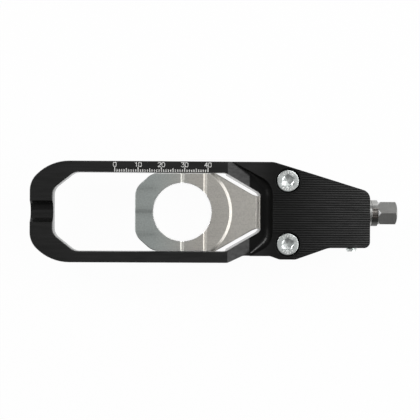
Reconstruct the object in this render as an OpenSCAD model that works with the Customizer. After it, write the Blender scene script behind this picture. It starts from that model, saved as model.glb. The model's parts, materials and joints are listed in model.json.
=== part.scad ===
// Chain adjuster for a motorcycle swing arm: a slotted side plate with a thick nose,
// an axle block that slides in the slot, and a hexagon adjuster that draws the block
// towards the nose. It lies flat on its back: X runs along the swing arm towards the
// adjuster, Y runs across it, and Z points out of the wheel side, up to the scale.
// The origin is the centre of the axle bore, on the back face.

/* [Side plate] */
// From the axle bore's centre to the plate's front end
plate_front = 65.4; // [62:0.1:72]
// Width of the plate across both rails
plate_w = 43.6; // [43:0.1:46]
// Thickness of the rails
rail_t = 9; // [6:0.1:11]
// Whole thickness of the adjuster, back face to scale face
total_t = 22; // [21:0.1:25]
// Length of the blended chamfers on the plate's front corners
front_cut = 8.8; // [6:0.1:9.4]
// Length of solid plate ahead of the slot
front_rail_w = 9.75; // [8:0.05:12]
// Width of the finger groove across the front rail
groove_w = 9.3; // [6:0.1:11]
// Depth of the finger groove
groove_deep = 3.5; // [2:0.1:4.2]
// Bevel along the edges of the scale face
edge_bevel = 0.3; // [0.1:0.05:0.5]

/* [Slot] */
// Width of the slot between the rails
slot_w = 34; // [32.6:0.1:34.4]
// Depth of the bevels at the slot's front corners, along the plate
slot_front_bevel = 9.2; // [6:0.1:11]
// Angle of the slot's front bevels
slot_front_angle = 38.6; // [32:0.1:42]
// Angle of the slot's rear bevels, and of the axle block's tail
tail_angle = 29.8; // [27:0.1:32]
// Corner radius in the slot
slot_r = 5; // [2:0.1:6]

/* [Nose] */
// From the axle bore's centre to the nose's end face
nose_end = 81.4; // [78:0.1:86]
// From the axle bore's centre to the slot's rear wall
nose_start = 34; // [32.9:0.1:35]
// Half width of the nose's end face on the scale side
nose_upper = 9.1; // [8:0.1:10]
// Half width of the nose's end face on the lower side
nose_lower = 15.2; // [13:0.1:16]
// Slope of the nose's upper edge
nose_slope = 16.8; // [15:0.1:17.6]
// Width of the lower rail step, from the plate's edge to the recessed edge
nose_step = 3; // [2:0.1:3.6]
// Drop of the screw boss below the recessed edge
boss_drop = 1.45; // [0.5:0.05:2]
// Radius of the nose face's crown along the plate
crown_r = 380; // [300:1:600]
// Spacing of the milled ridges on the nose face
ridge_pitch = 1; // [0.8:0.1:2]
// Depth of the milled ridges
ridge_deep = 0.12; // [0.05:0.01:0.2]

/* [Pocket] */
// Depth of the pocket between the rails and the nose
pocket_deep = 3.8; // [2:0.1:4.5]
// Start of the ramp from the rails down to the pocket floor
ramp_start = 19.45; // [17:0.05:20]
// Length of the ramp
ramp_len = 9.8; // [8:0.05:12]
// Place of the pocket's rear wall
pocket_end = 38.9; // [38:0.1:39.2]
// Centre of the pocket's round rear corner on the scale side, from the centreline
pocket_upper = 7.6; // [6:0.1:9]
// Centre of the pocket's round rear corner on the lower side, from the centreline
pocket_lower = 8.8; // [7:0.1:10]
// Radius of the pocket's rear corners in plan
pocket_corner_r = 8.3; // [8:0.1:10]
// Fillet radius at the foot of the pocket's side walls
pocket_r = 1.5; // [0.5:0.1:2]
// Fillet radius at the foot of the pocket's rear wall
pocket_rear_r = 4; // [2:0.1:4]

/* [Scale] */
// Number of divisions on the scale
scale_count = 40; // [20:5:40]
// Length of one division
scale_pitch = 1; // [0.8:0.1:1]
// Reading of the pointer line with the block against the nose
scale_reading = 38.9; // [38:0.1:40]
// Length of the shortest division line
tick_len = 1.1; // [0.8:0.1:1.2]
// Width of the division lines
tick_w = 0.5; // [0.2:0.05:0.6]
// Height of the numbers
digit_h = 1.8; // [1:0.1:2]
// Depth of the engraving
engrave_deep = 0.15; // [0.1:0.05:0.3]

/* [Axle block] */
// Bore for the wheel axle
axle_d = 25.1; // [20:0.1:26]
// Width of the mouth chamfer of the axle bore
bore_chamfer = 0.15; // [0.1:0.05:0.3]
// Length of the block ahead of the bore's centre
block_front = 20.3; // [18:0.1:21]
// Depth of the block's front bevels
block_bevel = 7.45; // [6:0.1:9]
// Angle of the block's front bevels
block_bevel_angle = 41.8; // [38:0.1:45]
// Corner radius of the block's front bevels
block_r = 7; // [2:0.1:8]
// Half width of the tail's end
tail_half = 6.95; // [6.4:0.05:8]
// Bevel along the tail's sides
tail_edge = 0.3; // [0.1:0.05:0.5]
// Radius of the raised disc on the block's face, at its foot
disc_r = 21.4; // [19:0.1:21.6]
// Width of the bevel around the raised disc
disc_bevel = 1.2; // [0.5:0.1:2]
// Height of the raised disc above the tail
disc_rise = 1; // [0.3:0.1:1.5]
// Bevel around the block's face
block_edge = 0.3; // [0.2:0.05:0.8]
// Length of the bevel across the tail's end
tail_bevel = 1.4; // [0.5:0.1:2]
// Depth of the bevel across the tail's end
tail_bevel_deep = 1.3; // [0.5:0.1:2]
// Length of the flat below that bevel
tail_land = 0.5; // [0.2:0.1:1]
// Offset of the pointer line behind the bore's centre
pointer_x = 9.8; // [8:0.1:10]
// Width of the pointer lines
pointer_w = 1.6; // [0.5:0.1:2]
// Depth of the pointer lines
pointer_deep = 0.5; // [0.2:0.1:1]

/* [Adjuster] */
// Diameter of the pull stud
stud_d = 6; // [5:0.1:6.4]
// Depth of the stud in the axle block
stud_deep = 14; // [11:0.1:16]
// Travel of the axle block
travel = 33; // [25:0.5:33]
// Length of stud that stays in the nut at full travel
stud_hold = 12; // [8:0.5:13]
// Outside diameter of the adjuster nut's sleeve
sleeve_d = 9; // [8.6:0.1:9.4]
// Width of the hexagon across its flats
hex_af = 9.8; // [9.5:0.1:10.2]
// Length of the hexagon
hex_len = 8.35; // [5:0.05:10]
// Diameter of the thrust collar
collar_d = 11.5; // [10.8:0.1:12]
// Length of the thrust collar
collar_len = 2.6; // [2.2:0.1:4]
// Width of the collar's notch
notch_w = 3.3; // [2:0.1:4]
// Length of the chamfer on the hexagon's collar end
hex_lead = 1.5; // [0.5:0.1:2]
// Length of the chamfer on the hexagon's free end
hex_chamfer = 0.8; // [0.3:0.1:1.2]
// Thickness of the thrust washer
washer_t = 1.5; // [0.5:0.1:1.5]
// Outside diameter of the bushes
bush_d = 12; // [11.2:0.1:12.6]
// Length of each bush
bush_len = 10; // [6:0.1:12]

/* [Fasteners] */
// Thickness of the rear clamp plate
clamp_t = 4; // [3:0.1:4.2]
// Place of the clamp screws behind the bore's centre
screw_x = 45.5; // [45.2:0.1:47]
// Distance of each clamp screw from the centreline
screw_y = 13.7; // [13.2:0.1:14]
// Diameter of the clamp screws' shanks
screw_d = 6; // [4:0.1:6.4]
// Diameter of the clamp screws' heads
head_d = 9.7; // [9:0.1:10]
// Height of the clamp screws' heads
head_h = 4; // [3:0.1:5]
// Width of the heads' hexagon sockets
socket_af = 4; // [3:0.1:5]
// Diameter of the dowels
dowel_d = 4; // [3:0.1:5]
// Place of the lock screw ahead of the nose's end face
lock_from_end = 6.9; // [6.4:0.1:7.8]
// Diameter of the lock screw
lock_d = 5; // [4:0.1:5.4]
// Length of the lock screw that stands out of the nose
lock_out = 1.7; // [1:0.1:3]

/* [Clearances] */
// Gap between the axle block and each rail
slide_gap = 0.25; // [0.15:0.05:0.5]
// Gap between the axle block and the nose at rest
stop_gap = 0.4; // [0.3:0.05:0.6]
// Radial gap of a turning fit
run_gap = 0.05; // [0.02:0.01:0.09]
// Radial gap of a fixed fit
seat_gap = 0.02; // [0.01:0.01:0.04]
// Radial gap of a screw in its clearance hole
hole_gap = 0.25; // [0.1:0.05:0.5]

/* [Hidden] */
$fn = 96;

eps = 0.01;
far = 200;
arc_steps = 8;

// Levels, measured up from the back face
rail_z = total_t - rail_t;
bore_wall = 1;
axis_z = clamp_t + bush_d / 2 + bore_wall;
pocket_z = total_t - pocket_deep;
tail_z = total_t - disc_rise;
tail_over = 5;

// Slot, in plan
slot_half = slot_w / 2;
slot_front = front_rail_w - plate_front;
slot_front_drop = slot_front_bevel * tan(slot_front_angle);
block_half = slot_half - slide_gap;
tail_end = nose_start - stop_gap;

// Bottom of the vee lines, ahead of their middle
pointer_skew = 0.2;

// The slot's rear bevels run parallel to the tail's flanks
shoulder_gap = 0.6;
shoulder_x = sqrt(pow(disc_r + shoulder_gap, 2) - block_half * block_half);
shoulder_r = 2;
tail_neck_x = shoulder_x + (block_half - tail_half) / tan(tail_angle);
tail_neck_r = min(8, 0.95 * (tail_end - tail_neck_x) / tan(tail_angle / 2));
slot_bevel_gap = 1.95;
slot_bevel_x = shoulder_x + slot_bevel_gap / sin(tail_angle) + slide_gap / tan(tail_angle);
slot_rear_half = slot_half - (nose_start - slot_bevel_x) * tan(tail_angle);

// Front corners: a 45 degree chamfer, blended by a small and a large arc
front_blend = front_cut * sqrt(2) / tan(22.5);
front_side_r = 0.66 * front_blend;
front_end_r = 0.32 * front_blend;

// Nose outline
plate_half = plate_w / 2;
nose_top_x = nose_end - (plate_half - nose_upper) / tan(nose_slope);
step_y = plate_half - nose_step;
boss_y = step_y + boss_drop;
edge_slope = 19.4;
step_slope = 24;
boss_left_x = screw_x - 3.6;
boss_right_x = screw_x + 3.3;
nose_low_x = boss_right_x + (boss_y - nose_lower) / tan(edge_slope);
step_left_x = boss_left_x - boss_drop / tan(edge_slope);
step_start_x = ramp_start;
edge_r = 3;
blend_r = 8;
end_upper_r = 4.2;
end_lower_r = 2.6;
step_end_x = step_start_x + nose_step / tan(step_slope);

// Pocket, in plan
pocket_upper_angle = 28;
pocket_lower_angle = 26.6;
pocket_over = 0.5;
pocket_rear_x = pocket_end - pocket_corner_r;
pocket_front_x = ramp_start - 4;
pocket_foot_x = ramp_start + ramp_len;

// Places along the adjuster's axis
stud_r = stud_d / 2;
sleeve_r = sleeve_d / 2;
bush_r = bush_d / 2;
ring_t = 1;
ring_r = 6.2;
ring_groove = 0.4;
axial_gap = 0.1;
land_r = ring_r + 0.6;
nut_start = nose_start + 0.9;
ring_x = nut_start + 1.6;
inner_washer_x = ring_x + ring_t + axial_gap;
inner_bush_x = inner_washer_x + washer_t;
stud_end = nut_start + travel + stud_hold;
stud_pin_r = stud_r / 2;
stud_pin_x = tail_end - stud_deep / 2;
pin_sink = 0.5;
nut_bore_end = stud_end + 1.5;
collar_x = nose_end + washer_t + axial_gap;
collar_pin_r = 0.75;
collar_pin_top = stud_r + 0.4;
neck_r = 3.9;
neck_len = 0.1;
barrel_r = 0.6 * hex_af;
lead_slope = 0.55;
end_slope = 1.73;
hex_x = collar_x + collar_len + neck_len;
lock_x = nose_end - lock_from_end;
lock_hole_gap = 0.4;
pad_len = 3;
lock_point = 0.8;
outer_bush_x = lock_x - lock_d / 2 - lock_hole_gap - bush_len;
seal_t = 1.6;
seal_x = nose_end - seal_t - 0.2;

// Clamp screws and dowels
head_r = head_d / 2;
counterbore_r = head_r + 0.45;
head_drop = 0.8;
counterbore_rim = 0.25;
head_edge = 0.4;
socket_deep = 2.2;
socket_lead = 0.3;
screw_point = 0.6;
screw_lift = 0.2;
screw_land = 0.6;
valley_half = screw_y - counterbore_r + 0.6;
head_z = total_t - head_drop - head_h;
dowel_reach = 18;
dowel_x = screw_x + dowel_reach;
dowel_y = bush_r + dowel_d / 2 + 1;

function unit(v) = v / norm(v);

// A corner [x, y, radius] of an outline, as the points of its fillet
function corner(p, a, b) =
    let (
        here = [p.x, p.y],
        u = unit([a.x, a.y] - here),
        v = unit([b.x, b.y] - here),
        half = acos(u * v) / 2,
        centre = here + unit(u + v) * p.z / sin(half),
        first = here + u * p.z / tan(half) - centre,
        turn = sign(cross(first, here + v * p.z / tan(half) - centre)) * (180 - 2 * half)
    )
    p.z == 0 ? [here] : [
        for (i = [0:arc_steps])
            let (t = turn * i / arc_steps)
            centre + [first.x * cos(t) - first.y * sin(t), first.x * sin(t) + first.y * cos(t)]
    ];

function outline(points) = [
    for (i = [0:len(points) - 1])
        each corner(
            points[i],
            points[(i + len(points) - 1) % len(points)],
            points[(i + 1) % len(points)]
        )
];

// A closed list with each corner repeated below the centreline
function mirrored(points) = concat(
    [for (i = [len(points) - 1:-1:0]) [points[i].x, -points[i].y, points[i].z]],
    points
);

// The same corners moved in by a distance, or out where it is negative
function inset(points, d) = [
    for (i = [0:len(points) - 1])
        let (
            p = points[i],
            here = [p.x, p.y],
            a = points[(i + len(points) - 1) % len(points)],
            b = points[(i + 1) % len(points)],
            u = unit([a.x, a.y] - here),
            v = unit([b.x, b.y] - here),
            side = sign(cross(v, u)),
            moved = here + side * unit(u + v) * d / sin(acos(u * v) / 2)
        )
        [moved.x, moved.y, p.z == 0 ? 0 : p.z - side * d]
];

// The space inside a bevel along an outline's edge on a face at a level. A flare of 1
// leans inward going up, for an outer edge, and -1 leans outward, for an opening.
module bevel_core(points, flare, bevel, level) {
    reach = 1;
    lower = outline(inset(points, -flare * reach));
    upper = outline(inset(points, flare * (bevel + reach)));
    count = len(lower);
    polyhedron(
        concat(
            [for (p = lower) [p.x, p.y, level - bevel - reach]],
            [for (p = upper) [p.x, p.y, level + reach]]
        ),
        concat(
            [[for (i = [0:count - 1]) i]],
            [[for (i = [0:count - 1]) 2 * count - 1 - i]],
            [
                for (i = [0:count - 1])
                    let (j = (i + 1) % count)
                    each [[i, i + count, j], [j, i + count, j + count]]
            ]
        )
    );
}

// What a bevel takes off an outer edge
module outer_bevel_cut(points, bevel, level) {
    difference() {
        translate([-far / 2, -far / 2, level - 2 * bevel]) cube([far, far, 3 * bevel]);
        bevel_core(points, 1, bevel, level);
    }
}

// A solid of an outline between two levels
module slab(points, low, high) {
    translate([0, 0, low]) linear_extrude(high - low) polygon(outline(points));
}

// A cylinder along X on the adjuster's axis
module axial(x, length, r) {
    translate([x, 0, axis_z]) rotate([0, 90, 0]) cylinder(h = length, r = r);
}

// A ring along X on the adjuster's axis
module axial_ring(x, length, outer, inner) {
    difference() {
        axial(x, length, outer);
        axial(x - 1, length + 2, inner);
    }
}

plate_points = [
    [-plate_front, front_cut - plate_half, front_end_r],
    [front_cut - plate_front, -plate_half, front_side_r],
    [step_start_x, -plate_half, edge_r],
    [step_end_x, -step_y, edge_r],
    [step_left_x, -step_y, edge_r],
    [boss_left_x, -boss_y, edge_r],
    [boss_right_x, -boss_y, edge_r],
    [nose_low_x, -nose_lower, blend_r],
    [nose_end, -nose_lower, end_lower_r],
    [nose_end, nose_upper, end_upper_r],
    [nose_top_x, plate_half, blend_r],
    [front_cut - plate_front, plate_half, front_side_r],
    [-plate_front, plate_half - front_cut, front_end_r]
];

slot_points = mirrored([
    [nose_start, slot_rear_half, edge_r],
    [slot_bevel_x, slot_half, slot_r],
    [slot_front + slot_front_bevel, slot_half, slot_r],
    [slot_front, slot_half - slot_front_drop, slot_r]
]);

// Outline of the axle block, with its tail up to a place along the plate
function block_points(end) = mirrored([
    [end, tail_half, 0],
    [tail_neck_x, tail_half, tail_neck_r],
    [shoulder_x, block_half, shoulder_r],
    [block_bevel - block_front, block_half, block_r],
    [-block_front, block_half - block_bevel * tan(block_bevel_angle), block_r]
]);

// The deep part of the plate outline: the nose and the arms beside the block's tail
module nose_slab(low, high) {
    difference() {
        intersection() {
            slab(plate_points, low, high);
            translate([ramp_start, -far / 2, low]) cube([far, far, high - low]);
        }
        slab(slot_points, low - 1, high + 1);
    }
}

// Round-bottomed finger groove across the front rail
module finger_groove() {
    groove_r = (groove_w * groove_w / 4 + groove_deep * groove_deep) / (2 * groove_deep);
    translate([-plate_front - 1, 0, total_t - groove_deep + groove_r])
        rotate([0, 90, 0])
            cylinder(h = front_rail_w + 2, r = groove_r);
}

// Pocket ahead of the nose: a ramp, a floor and walls whose fillet grows past the ramp
module pocket() {
    ramp_slope = atan(pocket_deep / ramp_len);
    sides = [[1, pocket_upper, pocket_upper_angle], [-1, pocket_lower, pocket_lower_angle]];
    intersection() {
        hull()
            for (side = sides) {
                pocket_post(pocket_rear_x, side[0] * side[1], pocket_corner_r, pocket_rear_r);
                for (x = [pocket_front_x, pocket_foot_x])
                    pocket_post(x, side[0] * pocket_side_y(x, side[1], side[2]), pocket_r, pocket_r);
            }
        translate([ramp_start, -far / 2, total_t])
            rotate([0, ramp_slope, 0])
                cube(far);
    }
}

// A round post on the pocket's floor, with a fillet round its foot
module pocket_post(x, y, post_r, foot_r) {
    post_h = pocket_deep + pocket_over;
    translate([x, y, pocket_z])
        rotate_extrude($fn = 32)
            intersection() {
                union() {
                    translate([post_r - foot_r, foot_r]) circle(r = foot_r, $fn = 32);
                    square([post_r - foot_r + eps, post_h]);
                    translate([0, foot_r]) square([post_r, post_h - foot_r]);
                }
                square([post_r, post_h]);
            }
}

// Distance from the centreline of a post that touches a slanting side wall
function pocket_side_y(x, rear_y, angle) =
    rear_y + (pocket_rear_x - x) * tan(angle) + (pocket_corner_r - pocket_r) / cos(angle);

// Crowned and ridged face of the nose, as the solid above it
module ridge_cut() {
    rows = ceil(plate_half / ridge_pitch);
    teeth = [
        for (i = [-rows:rows])
            each [[crown_r - ridge_deep, i * ridge_pitch], [crown_r, (i + 0.5) * ridge_pitch]]
    ];
    intersection() {
        translate([pocket_end, 0, total_t - crown_r])
            rotate([90, 0, 0])
                rotate([0, 0, 80])
                    rotate_extrude(angle = 12, $fn = 720)
                        polygon(concat(
                            teeth,
                            [[crown_r + 4, (rows + 0.5) * ridge_pitch], [crown_r + 4, -rows * ridge_pitch]]
                        ));
        difference() {
            union() {
                translate([pocket_end - 1, -valley_half, 0]) cube([far, 2 * valley_half, far]);
                translate([screw_x, -far / 2, 0]) cube([far, far, far]);
            }
            for (side = [-1, 1])
                translate([screw_x, side * screw_y, 0])
                    cylinder(h = far, r = counterbore_r + screw_land);
        }
    }
}

// Bores along the adjuster's axis
module nose_bores() {
    axial(nose_start - 1, nose_end - nose_start + 2, sleeve_r + lock_hole_gap);
    axial(nose_start - 1, inner_washer_x + 1 - nose_start, land_r);
    axial(inner_washer_x - eps, washer_t + bush_len + eps, bush_r + seat_gap);
    axial(outer_bush_x, nose_end - outer_bush_x + 1, bush_r + seat_gap);
}

// Strokes of a number, on a grid 4 wide and 6 high
function strokes(digit) =
    digit == 0 ? [[[0, 1], [0, 5], [1, 6], [3, 6], [4, 5], [4, 1], [3, 0], [1, 0], [0, 1]]] :
    digit == 1 ? [[[1, 5], [2.4, 6], [2.4, 0]]] :
    digit == 2 ? [[[0, 5], [1, 6], [3, 6], [4, 5], [4, 4], [0, 0], [4, 0]]] :
    digit == 3 ? [[[0, 6], [4, 6], [2, 3.6], [3, 3.6], [4, 2.6], [4, 1], [3, 0], [1, 0], [0, 1]]] :
    [[[3, 0], [3, 6], [0, 2], [4, 2]]];

module stroke(a, b, size, w) {
    run = (b - a) * size;
    translate(a * size)
        rotate(atan2(run.y, run.x))
            translate([-w / 2, -w / 2]) square([norm(run) + w, w]);
}

module number(value) {
    size = digit_h / 6;
    digits = value < 10 ? [value] : [floor(value / 10), value % 10];
    advance = 5.4 * size;
    for (i = [0:len(digits) - 1])
        translate([(i - (len(digits) - 1) / 2) * advance - 2 * size, 0])
            for (path = strokes(digits[i]))
                for (k = [0:len(path) - 2])
                    stroke(path[k], path[k + 1], size, 0.7 * tick_w);
}

// Division lines and numbers cut in the upper rail
module scale_cut() {
    start_x = pointer_x - scale_reading * scale_pitch;
    tick_y = slot_half + 0.2;
    digit_y = tick_y + 1.8 * tick_len + 0.25;
    translate([0, 0, total_t - engrave_deep])
        linear_extrude(1) {
            for (i = [0:scale_count]) {
                length = tick_len * (i % 10 == 0 ? 1.8 : i % 5 == 0 ? 1.4 : 1);
                translate([start_x + i * scale_pitch - tick_w / 2, tick_y])
                    square([tick_w, length]);
            }
            for (i = [0:10:scale_count])
                translate([start_x + i * scale_pitch, digit_y]) number(i);
        }
}

module adjuster_body() color("#26282a") {
    difference() {
        union() {
            difference() {
                slab(plate_points, rail_z, total_t);
                slab(slot_points, rail_z - 1, total_t + 1);
            }
            nose_slab(clamp_t, total_t);
        }
        outer_bevel_cut(plate_points, edge_bevel, total_t);
        bevel_core(slot_points, -1, edge_bevel, total_t);
        finger_groove();
        pocket();
        ridge_cut();
        scale_cut();
        nose_bores();
        for (side = [-1, 1])
            translate([screw_x, side * screw_y, 0]) {
                cylinder(h = total_t, r = screw_d / 2 + hole_gap);
                translate([0, 0, head_z]) cylinder(h = head_h + head_drop + 1, r = counterbore_r);
                translate([0, 0, total_t - counterbore_rim])
                    cylinder(h = 1, r1 = counterbore_r, r2 = counterbore_r + 1);
            }
        for (side = [-1, 1])
            translate([dowel_x, side * dowel_y, 0])
                cylinder(h = 2 * clamp_t + 0.3, r = dowel_d / 2 + seat_gap);
        lock_hole();
    }
}

// Threaded cross hole for the lock screw
module lock_hole() {
    translate([lock_x, 0, axis_z])
        rotate([90, 0, 0])
            cylinder(h = nose_lower + 1, r = lock_d / 2 + run_gap);
}

module rear_clamp_plate() color("#2c2e30") {
    difference() {
        nose_slab(0, clamp_t);
        for (side = [-1, 1]) {
            translate([screw_x, side * screw_y, -1])
                cylinder(h = clamp_t + 2, r = screw_d / 2 + seat_gap);
            translate([dowel_x, side * dowel_y, 1])
                cylinder(h = clamp_t, r = dowel_d / 2 + seat_gap);
        }
    }
}

module bush(x) {
    axial_ring(x, bush_len, bush_r, sleeve_r + run_gap);
}

module inner_bush() color("#b08d57") bush(inner_bush_x);

module outer_bush() color("#b08d57") bush(outer_bush_x);

module retaining_washer() color("silver")
    axial_ring(inner_washer_x, washer_t, bush_r - 0.2, sleeve_r + run_gap);

module seal_ring() color("#151515")
    axial_ring(seal_x, seal_t, bush_r, sleeve_r + run_gap);

module thrust_washer() color("silver")
    axial_ring(nose_end, washer_t, collar_d / 2 - 0.1, sleeve_r + run_gap);

// A socket head screw that stands along Z, with its head upward
module clamp_screw() {
    difference() {
        union() {
            translate([0, 0, head_z]) cylinder(h = head_h - head_edge, r = head_r);
            translate([0, 0, head_z + head_h - head_edge])
                cylinder(h = head_edge, r1 = head_r, r2 = head_r - head_edge);
            translate([0, 0, screw_lift + screw_point])
                cylinder(h = head_z - screw_lift - screw_point + eps, r = screw_d / 2);
            translate([0, 0, screw_lift])
                cylinder(h = screw_point + eps, r1 = screw_d / 2 - screw_point, r2 = screw_d / 2);
        }
        translate([0, 0, head_z + head_h - socket_deep])
            cylinder(h = socket_deep + 1, r = socket_af / sqrt(3), $fn = 6);
        translate([0, 0, head_z + head_h - socket_lead]) {
            lead_r = socket_af / sqrt(3) + 0.1;
            cylinder(h = socket_lead + eps, r1 = lead_r - socket_lead, r2 = lead_r);
        }
    }
}

module upper_clamp_screw() color("#c9cacc") translate([screw_x, screw_y, 0]) clamp_screw();

module lower_clamp_screw() color("#c9cacc") translate([screw_x, -screw_y, 0]) clamp_screw();

module dowel() {
    translate([0, 0, 1.2]) cylinder(h = 2 * clamp_t - 1.2, r = dowel_d / 2);
}

module upper_dowel() color("silver") translate([dowel_x, dowel_y, 0]) dowel();

module lower_dowel() color("silver") translate([dowel_x, -dowel_y, 0]) dowel();

module adjuster_nut() color("#a9abad") {
    difference() {
        union() {
            axial(nut_start, collar_x + collar_len - nut_start, sleeve_r);
            axial(collar_x, hex_x - collar_x + 1, neck_r);
            intersection() {
                axial_hex(hex_x, hex_len, hex_af);
                hex_barrel();
            }
        }
        axial(nut_start - 1, nut_bore_end - nut_start + 1, stud_r + run_gap);
        axial_ring(ring_x, ring_t, sleeve_r + 1, sleeve_r - ring_groove);
        collar_pin_hole();
    }
}

// What the hexagon's two chamfers leave
module hex_barrel() {
    body_len = hex_len - hex_lead - hex_chamfer;
    translate([hex_x, 0, axis_z]) rotate([0, 90, 0]) {
        cylinder(h = hex_lead, r1 = barrel_r - lead_slope * hex_lead, r2 = barrel_r);
        translate([0, 0, hex_lead]) cylinder(h = body_len, r = barrel_r);
        translate([0, 0, hex_lead + body_len])
            cylinder(h = hex_chamfer, r1 = barrel_r, r2 = barrel_r - end_slope * hex_chamfer);
    }
}

// A hexagonal bar along X with one corner toward the scale side
module axial_hex(x, length, af) {
    translate([x, 0, axis_z]) rotate([0, 90, 0]) cylinder(h = length, r = af / sqrt(3), $fn = 6);
}

module collar_pin_hole() {
    translate([collar_x + collar_len / 2, 0, axis_z - collar_d / 2 - 1])
        cylinder(h = collar_d / 2 + 1 - collar_pin_top, r = collar_pin_r + seat_gap);
}

module thrust_collar() color("#9fa1a3") {
    difference() {
        axial_ring(collar_x, collar_len, collar_d / 2, sleeve_r + seat_gap);
        translate([collar_x - 1, -notch_w / 2, axis_z + sleeve_r - 0.2])
            cube([collar_len + 2, notch_w, collar_d]);
        collar_pin_hole();
    }
}

module collar_pin() color("silver")
    translate([collar_x + collar_len / 2, 0, axis_z - collar_d / 2 + 0.15])
        cylinder(h = collar_d / 2 - 0.15 - collar_pin_top, r = collar_pin_r);

// A split ring in the groove of the nut's sleeve
module retaining_ring() color("#3a3a3c") {
    difference() {
        axial_ring(
            ring_x + run_gap, ring_t - 2 * run_gap, ring_r, sleeve_r - ring_groove + seat_gap
        );
        translate([ring_x - 1, -1.5, axis_z + 1]) cube([ring_t + 2, 3, ring_r + 1]);
    }
}

module axle_block() color("#a8a9a5") {
    difference() {
        slab(block_points(tail_end), 0, total_t);
        outer_bevel_cut(block_points(tail_end + tail_over), block_edge, total_t);
        tail_step();
        intersection() {
            translate([shoulder_x, -far / 2, 0]) cube(far);
            outer_bevel_cut(block_points(tail_end + tail_over), tail_edge, tail_z);
        }
        tail_end_cut();
        translate([0, 0, -1]) cylinder(h = total_t + 2, r = axle_d / 2);
        translate([0, 0, total_t - bore_chamfer])
            cylinder(h = bore_chamfer + eps, r1 = axle_d / 2, r2 = axle_d / 2 + bore_chamfer);
        for (x = [0, pointer_x]) pointer_line(x);
        axial(tail_end - stud_deep - 0.5, stud_deep + 1.5, stud_r + seat_gap);
        stud_pin_hole();
    }
}

// Bevel and flat across the tail's end
module tail_end_cut() {
    foot_x = tail_end - tail_land;
    top_x = foot_x - tail_bevel;
    translate([0, far / 2, tail_z])
        rotate([90, 0, 0])
            linear_extrude(far)
                polygon([
                    [top_x - tail_bevel, tail_bevel_deep],
                    [foot_x, -tail_bevel_deep],
                    [tail_end + 1, -tail_bevel_deep],
                    [tail_end + 1, tail_bevel_deep]
                ]);
}

// A vee cut across the block's face
module pointer_line(x) {
    translate([x, far / 2, total_t])
        rotate([90, 0, 0])
            linear_extrude(far)
                polygon([
                    [-pointer_w / 2 - eps, eps],
                    [-pointer_skew, -pointer_deep],
                    [pointer_w / 2 + eps, eps]
                ]);
}

// Lower face of the tail, with a bevel down from the raised disc
module tail_step() {
    difference() {
        translate([0, -far / 2, tail_z]) cube([far, far, disc_rise + 1]);
        translate([0, 0, tail_z - 1]) cylinder(h = 1 + eps, r = disc_r);
        translate([0, 0, tail_z])
            cylinder(h = disc_rise, r1 = disc_r, r2 = disc_r - disc_bevel);
        translate([0, 0, total_t - eps]) cylinder(h = 2, r = disc_r - disc_bevel);
    }
}

module stud_pin_hole() {
    translate([stud_pin_x, 0, -1])
        cylinder(h = axis_z + stud_r + pin_sink + 1, r = stud_pin_r + seat_gap);
}

module pull_stud() color("#8c8f93") {
    difference() {
        union() {
            axial(tail_end - stud_deep, stud_end - tail_end + stud_deep - 0.8, stud_r);
            translate([stud_end - 0.8, 0, axis_z]) rotate([0, 90, 0])
                cylinder(h = 0.8, r1 = stud_r, r2 = stud_r - 0.8);
        }
        stud_pin_hole();
    }
}

module stud_pin() color("silver")
    translate([stud_pin_x, 0, pin_sink]) cylinder(h = axis_z + stud_r - pin_sink, r = stud_pin_r);

// Lock screw with a bevelled outer end and a hexagon socket
module lock_screw() color("#c4c5c7")
    translate([lock_x, -sleeve_r - pad_len, axis_z]) rotate([90, 0, 0]) {
        length = nose_lower + lock_out - sleeve_r - pad_len;
        difference() {
            union() {
                cylinder(h = length - lock_point, r = lock_d / 2);
                translate([0, 0, length - lock_point])
                    cylinder(h = lock_point, r1 = lock_d / 2, r2 = lock_d / 2 - lock_point);
            }
            translate([0, 0, length - lock_d / 2])
                cylinder(h = lock_d, r = lock_d / 2 / sqrt(3), $fn = 6);
        }
    }

module lock_pad() color("#e8e6df")
    translate([lock_x, -sleeve_r - run_gap, axis_z])
        rotate([90, 0, 0]) cylinder(h = pad_len - 2 * run_gap, r = lock_d / 2 - 0.2);

adjuster_body();
rear_clamp_plate();
inner_bush();
outer_bush();
retaining_washer();
seal_ring();
thrust_washer();
upper_clamp_screw();
lower_clamp_screw();
upper_dowel();
lower_dowel();
adjuster_nut();
thrust_collar();
collar_pin();
retaining_ring();
axle_block();
pull_stud();
stud_pin();
lock_screw();
lock_pad();
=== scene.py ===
"""Finishes and threaded parts of a motorcycle chain adjuster, built around its solids."""

import json
import math

import bpy
from bpy.props import FloatProperty, FloatVectorProperty, IntProperty, PointerProperty
from mathutils import Matrix, Vector

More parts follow.
